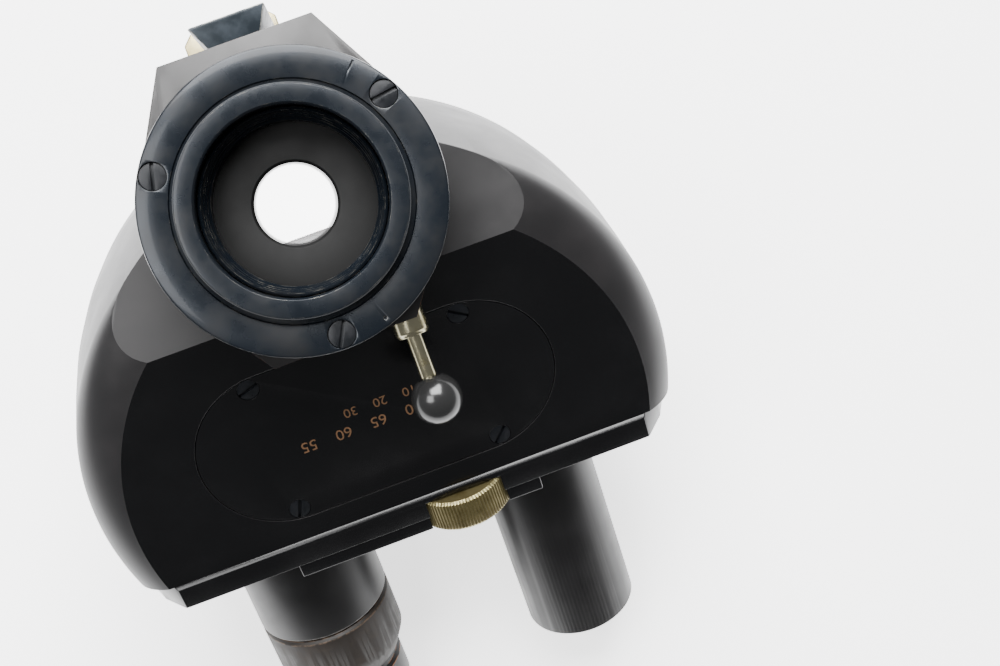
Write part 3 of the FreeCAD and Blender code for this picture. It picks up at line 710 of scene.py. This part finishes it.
@dataclass
class PrismHousing:
    """The D-shaped shell with its covers, base plate and engraved figures."""

    depth: float = 46.0
    base: float = 51.3
    cover_arm: float = 19.6
    cover_radius: float = 17.8
    cover_middle: float = -28.5
    cover_sink: float = 1.6
    face_radius: float = 54.2
    face_centre: float = 39.4
    swell: float = 7.0
    drop: float = 3.9
    roll_deep: float = 7.6
    roll_from: float = 30.0
    roll_step: float = 5.0
    middle: float = 38.0
    room_radius: float = 55.0
    lip_hole: float = 48.5
    lip_deep: float = 2.4
    recess: float = 52.0
    block_half: float = 24.05
    block_front: float = -9.05
    sleeve_hole: float = 3.55
    sleeve_x: float = 12.2

    def rim_rings(self) -> list[tuple[float, float, float]]:
        """The rings that the shell is drawn through: a quarter roll at the front, then the long side.

        Returns:
            Depth, radius and centre of each ring in millimetres, from the front face back.
        """
        rings = [(0.0, self.face_radius, self.face_centre)]
        start = math.radians(self.roll_from)
        for step in range(1, 13):
            turn = start + math.radians(step * self.roll_step)
            share = (math.sin(turn) - math.sin(start)) / (1 - math.sin(start))
            deep = self.roll_deep * (math.cos(start) - math.cos(turn)) / math.cos(start)
            rings.append((deep, self.face_radius + self.swell * share, self.face_centre - self.drop * share))
        rings += [(16.0, 61.2, 35.5), (26.0, 61.0, 35.7), (36.0, 60.2, 36.2), (43.5, 59.2, 36.7),
                  (45.4, 58.6, 37.0), (46.0, 57.8, 37.2)]
        return rings

    def cover_form(self, inset: float, low: float, high: float) -> bpy.types.Object:
        """The rounded form of the cover plate between two levels out of the face.

        Args:
            inset: how far inside the plate's outline it stays, in millimetres.
            low: the lower level in millimetres.
            high: the upper level in millimetres.

        Returns:
            The form, in place.
        """
        place = TILTED @ Matrix.Translation(Vector((self.cover_arm, self.cover_middle, 0)) * MM)
        piece = drum(self.cover_radius - inset, low, high, LEVEL, 160)
        select_where(piece, lambda place: place.x < -1e-6)
        bpy.ops.object.mode_set(mode="EDIT")
        bpy.ops.transform.translate(value=(-2 * self.cover_arm * MM, 0, 0))
        bpy.ops.object.mode_set(mode="OBJECT")
        put(piece, place)
        return piece

    def drawn_form(self) -> bpy.types.Object:
        """The solid form of the shell: rings drawn back from the front arc and cut flat at the base.

        Returns:
            The form, in place.
        """
        rings = self.rim_rings()
        start_fresh()
        deep, radius, centre = rings[0]
        bpy.ops.mesh.primitive_circle_add(vertices=320, radius=radius * MM, location=(0, -centre * MM, 0),
                                          fill_type="NGON")
        shell = bpy.context.object
        shell.name = "cast_shell"
        bpy.ops.object.mode_set(mode="EDIT")
        bpy.ops.mesh.select_all(action="SELECT")
        for next_deep, next_radius, next_centre in rings[1:]:
            bpy.ops.mesh.extrude_region_move(TRANSFORM_OT_translate={
                "value": (0, (centre - next_centre) * MM, (deep - next_deep) * MM)})
            scale = next_radius / radius
            bpy.ops.transform.resize(value=(scale, scale, 1),
                                     center_override=(0, -next_centre * MM, -next_deep * MM))
            deep, radius, centre = next_deep, next_radius, next_centre
        bpy.ops.mesh.select_all(action="SELECT")
        bpy.ops.mesh.bisect(plane_co=(0, -self.base * MM, 0), plane_no=(0, -1, 0), use_fill=True,
                            clear_outer=True)
        bpy.ops.mesh.select_all(action="SELECT")
        bpy.ops.mesh.normals_make_consistent(inside=False)
        bpy.ops.object.mode_set(mode="OBJECT")
        put(shell, TILTED)
        return shell

    def hollows(self) -> list[bpy.types.Object]:
        """What is taken out of the solid form, in the order that it is cut.

        Returns:
            The cutters: all above the flange, the room, the block's pocket, the rear cover's recess and
            lip, the cover plate's bed and window, and the sleeve's hole.
        """
        level = FRONT_EDGE.z / MM
        back = TILTED @ Matrix.Translation((0, -self.middle * MM, 0))
        room = drum(self.room_radius, -self.depth + 5.4, -3.0, back, 160)
        carve(room, [block((-80, -80, level - 3), (80, 80, 20), LEVEL)])
        sleeve = Matrix.Translation((self.sleeve_x * MM, -0.032, level * MM))
        return [
            block((-80, -80, level), (80, 80, 60), LEVEL),
            room,
            block((-self.block_half, self.block_front, -120), (self.block_half, 80, level + 1), LEVEL),
            drum(self.recess, -60, -self.depth + self.lip_deep, back, 160),
            drum(self.lip_hole, -self.depth + 1.9, -self.depth + 6, back, 160),
            self.cover_form(0, -self.cover_sink, 4),
            self.cover_form(3.5, -8, 4),
            drum(self.sleeve_hole, -2, 24, sleeve @ Matrix.Rotation(math.radians(-90), 4, "X"), 48)]

    def draw_shell(self) -> None:
        """The hollow shell, satin all over and glossy on its front face."""
        shell = self.drawn_form()
        carve(shell, self.hollows())
        coat(shell, SHELL_ENAMEL)
        shell.data.materials.append(GLOSS_ENAMEL.build())
        soften(shell, 0.25, 28, 2, 14)
        outward = TILTED.to_3x3() @ Vector((0, 0, 1))
        for face in shell.data.polygons:
            if face.normal.dot(outward) > 0.9995:
                face.material_index = 2
        finish_piece(shell, "housing_shell")

    def engrave(self) -> None:
        """Plain distance figures in two rows on the cover, upright when the head is in use."""
        turn = Matrix.Rotation(math.radians(180), 4, "Z")
        rows = (
            FigureRow("75    70    65    60    55", x=-0.3, y=-30.2, height=2.5),
            FigureRow("10    20    30", x=1.3, y=-26.0, height=2.1))
        for index, row in enumerate(rows):
            start_fresh()
            bpy.ops.object.text_add(location=(0, 0, 0))
            figures = bpy.context.object
            figures.name = "cover_figures_%d" % (index + 1)
            figures.data.body = row.text
            figures.data.size = row.height * FONT_TO_FIGURE * MM
            figures.data.align_x = "CENTER"
            figures.data.align_y = "CENTER"
            figures.data.extrude = 0.02 * MM
            bpy.ops.object.convert(target="MESH")
            put(figures, TILTED @ Matrix.Translation(Vector((row.x, row.y, -0.03)) * MM) @ turn)
            figures.data.materials.clear()
            figures.data.materials.append(FIGURE_GOLD.build())
            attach(figures, "head")
            LOG.info("%s: %d faces", figures.name, len(figures.data.polygons))

    def build(self) -> None:
        """Build the whole sub-assembly."""
        self.draw_shell()
        refined("cover_plate", GLOSS_ENAMEL, 0.15)
        refined("cover_screws", SCREW_STEEL, 0.1)
        refined("rear_cover", BLACK_LACQUER, 0.2)
        refined("rear_cover_screws", SCREW_STEEL, 0.1)
        refined("base_plate", GLOSS_ENAMEL, 0.3)
        refined("wheel_guard_left", GLOSS_ENAMEL, 0.3)
        refined("wheel_guard_right", GLOSS_ENAMEL, 0.3)
        self.engrave()
        dressed(["splitter_prism", "deflecting_prism", "left_prism", "right_prism"], CROWN_GLASS)
        dressed(["splitter_mount", "prism_carriage", "left_neck", "right_neck", "left_prism_seat",
                 "right_prism_seat", "field_stop"], INNER_BLACK)
        dressed(["left_slide_plate", "right_slide_plate", "left_rack", "right_rack"], PALE_BRASS)


@dataclass
class Selector:
    """The ball-ended rod in its sleeve."""

    ball: float = 5.0
    flat: float = 4.5
    flat_rim: float = 0.25
    flat_sink: float = 0.2

    def build(self) -> None:
        """Build the whole sub-assembly."""
        refined("selector_sleeve", NICKEL_PLATE, 0.15)
        refined("selector_rod", NICKEL_PLATE, 0.2)
        low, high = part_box("ball_knob")
        middle = Vector([(a + b) / 2 for a, b in zip(low, high)])
        start_fresh()
        bpy.ops.mesh.primitive_uv_sphere_add(segments=96, ring_count=64, radius=self.ball * MM)
        ball = bpy.context.object
        ball.name = "resin_ball"
        bpy.ops.object.mode_set(mode="EDIT")
        bpy.ops.mesh.select_all(action="SELECT")
        bpy.ops.mesh.bisect(plane_co=(0, 0, self.flat * MM), plane_no=(0, 0, 1), use_fill=True,
                            clear_outer=True)
        bpy.ops.mesh.inset(thickness=self.flat_rim * MM)
        bpy.ops.transform.translate(value=(0, 0, -self.flat_sink * MM))
        bpy.ops.object.mode_set(mode="OBJECT")
        centre = Vector((middle.x, low[1] + self.ball * MM, middle.z))
        put(ball, Matrix.Translation(centre) @ Matrix.Rotation(math.radians(-90), 4, "X"))
        coat(ball, BALL_RESIN)
        soften(ball, 0.08, 30, 2)
        finish_piece(ball, "ball_knob")


@dataclass
class AdjustingWheel:
    """The knurled wheel on its shaft, with the pinion inside."""

    x: float = 10.7
    deep: float = 6.0
    top: float = 53.2
    radius: float = 10.1
    thick: float = 7.4
    bore: float = 1.2
    chamfer: float = 0.55
    face_sink: float = 0.25
    groove_deep: float = 0.24
    grooves: int = 88

    def build(self) -> None:
        """Build the whole sub-assembly."""
        low = self.top + self.thick
        wheel = lathe("knurled_wheel", [
            (self.bore, self.top), (4.2, self.top), (4.5, self.top + self.face_sink),
            (self.radius - 1.4, self.top + self.face_sink), (self.radius - 1.1, self.top),
            (self.radius - self.chamfer, self.top), (self.radius, self.top + self.chamfer),
            (self.radius, low - self.chamfer), (self.radius - self.chamfer, low), (self.bore, low),
            (self.bore, self.top)], LEVEL, self.grooves * SIDES_PER_GROOVE)
        knurl(wheel, self.radius - 0.05, self.grooves, self.groove_deep)
        put(wheel, down_tube(self.x, self.deep))
        coat(wheel, AGED_BRASS)
        axis = TILTED.to_3x3() @ Vector((0, 1, 0))
        for face in wheel.data.polygons:
            spread = face.normal.dot(axis)
            if 0.3 < abs(spread) < 0.9:
                face.material_index = 1
        soften(wheel, 0.0, 30)
        finish_piece(wheel, "adjusting_wheel")
        refined("wheel_shaft", SCREW_STEEL, 0.15)
        dressed(["pinion"], AGED_BRASS)


@dataclass
class EyepieceTubes:
    """Both sliding tubes, the focusing ring and the fixed eyepiece."""

    def build(self) -> None:
        """Build the whole sub-assembly."""
        refined("right_tube", TUBE_LACQUER, 0.15)
        refined("left_tube", TUBE_LACQUER, 0.1)
        refined("left_collar", TUBE_LACQUER, 0.2)
        refined("dioptre_ring", RING_BROWN, 0.2)
        refined("ocular_body", BLACK_LACQUER, 0.15)
        dressed(["eye_lens", "field_lens"], CROWN_GLASS)


@dataclass
class Studio:
    """Pale floor, soft light and the camera."""

    eye: tuple[float, float, float] = (12.2, -18.75, 307.72)
    look: tuple[float, float, float] = (0.04801, -0.0534, -0.99742)
    up: tuple[float, float, float] = (0.3447, 0.93811, -0.03363)
    lens: float = 61.2
    floor_size: float = 8.0
    floor_glow: float = 2.0
    sky_strength: float = 0.28
    bore_watts: float = 40.0
    bore_cone: float = 2.7

    @staticmethod
    def aim(thing: bpy.types.Object, at: Vector) -> None:
        """Point a light's -Z at a place.

        Args:
            thing: the light.
            at: the place, in metres.
        """
        thing.rotation_euler = (at - thing.location).to_track_quat("-Z", "Y").to_euler()

    def soft_box(self, name: str, where: Sequence[float], size: float, watts: float) -> None:
        """One square soft light aimed at the head.

        Args:
            name: the light's name.
            where: its place, in metres.
            size: the length of its side, in metres.
            watts: its power.
        """
        data = bpy.data.lights.new(name, "AREA")
        data.size = size
        data.energy = watts
        light = bpy.data.objects.new(name, data)
        light.location = where
        bpy.context.scene.collection.objects.link(light)
        self.aim(light, Vector((0, -0.02, -0.05)))

    def lay_floor(self) -> None:
        """A wide pale floor at the level that the head stands on."""
        floor_level = CAD_BOUNDS[0][2]
        start_fresh()
        bpy.ops.mesh.primitive_plane_add(size=self.floor_size, location=(0, 0, floor_level))
        floor = bpy.context.object
        floor.name = "studio_floor"
        laminate = WHITE_LAMINATE.build()
        shader = next(item for item in laminate.node_tree.nodes if item.type == "BSDF_PRINCIPLED")
        shader.inputs["Emission Color"].default_value = from_hex("#FFFFFF")
        shader.inputs["Emission Strength"].default_value = self.floor_glow
        floor.data.materials.append(laminate)

    def light(self) -> None:
        """A pale surround, two soft boxes and a narrow light down the bore from the eye."""
        world = bpy.data.worlds.new("soft_surround")
        world.use_nodes = True
        sky = world.node_tree.nodes["Background"]
        sky.inputs["Color"].default_value = (0.96, 0.98, 1.0, 1.0)
        sky.inputs["Strength"].default_value = self.sky_strength
        bpy.context.scene.world = world
        self.soft_box("window_light", (0.15, 0.75, 0.75), 0.9, 70)
        self.soft_box("top_light", (-0.5, 0.15, 0.9), 0.5, 10)
        spot = bpy.data.lights.new("bore_light", "SPOT")
        spot.energy = self.bore_watts
        spot.spot_size = math.radians(self.bore_cone)
        spot.spot_blend = 0.1
        spot.shadow_soft_size = 0.0
        bore = bpy.data.objects.new("bore_light", spot)
        bore.location = Vector(self.eye) * MM
        bpy.context.scene.collection.objects.link(bore)
        self.aim(bore, Vector((0, 0, -0.0125)))

    def place_camera(self) -> None:
        """The camera at the eye, turned to its look and up directions."""
        look = Vector(self.look).normalized()
        right = look.cross(Vector(self.up)).normalized()
        upward = right.cross(look)
        camera_data = bpy.data.cameras.new("view")
        camera_data.lens = self.lens
        camera_data.sensor_width = 36.0
        camera_data.clip_start = 0.01
        camera = bpy.data.objects.new("view", camera_data)
        turn = Matrix((right, upward, -look)).transposed().to_4x4()
        camera.matrix_world = Matrix.Translation(Vector(self.eye) * MM) @ turn
        bpy.context.scene.collection.objects.link(camera)
        bpy.context.scene.camera = camera

    def build(self) -> None:
        """Lay the floor, light it and set the camera."""
        self.lay_floor()
        self.light()
        self.place_camera()


def main() -> None:
    """Build every sub-assembly and log each one as it is done."""
    logging.basicConfig(level=logging.INFO, format="%(message)s")
    assemblies = [Studio(), MountingFlange(), PrismBlock(), PhotoTube(), PrismHousing(), Selector(),
                  AdjustingWheel(), EyepieceTubes()]
    for assembly in assemblies:
        assembly.build()
        LOG.info("%s done", type(assembly).__name__)


if __name__ == "__main__":
    main()
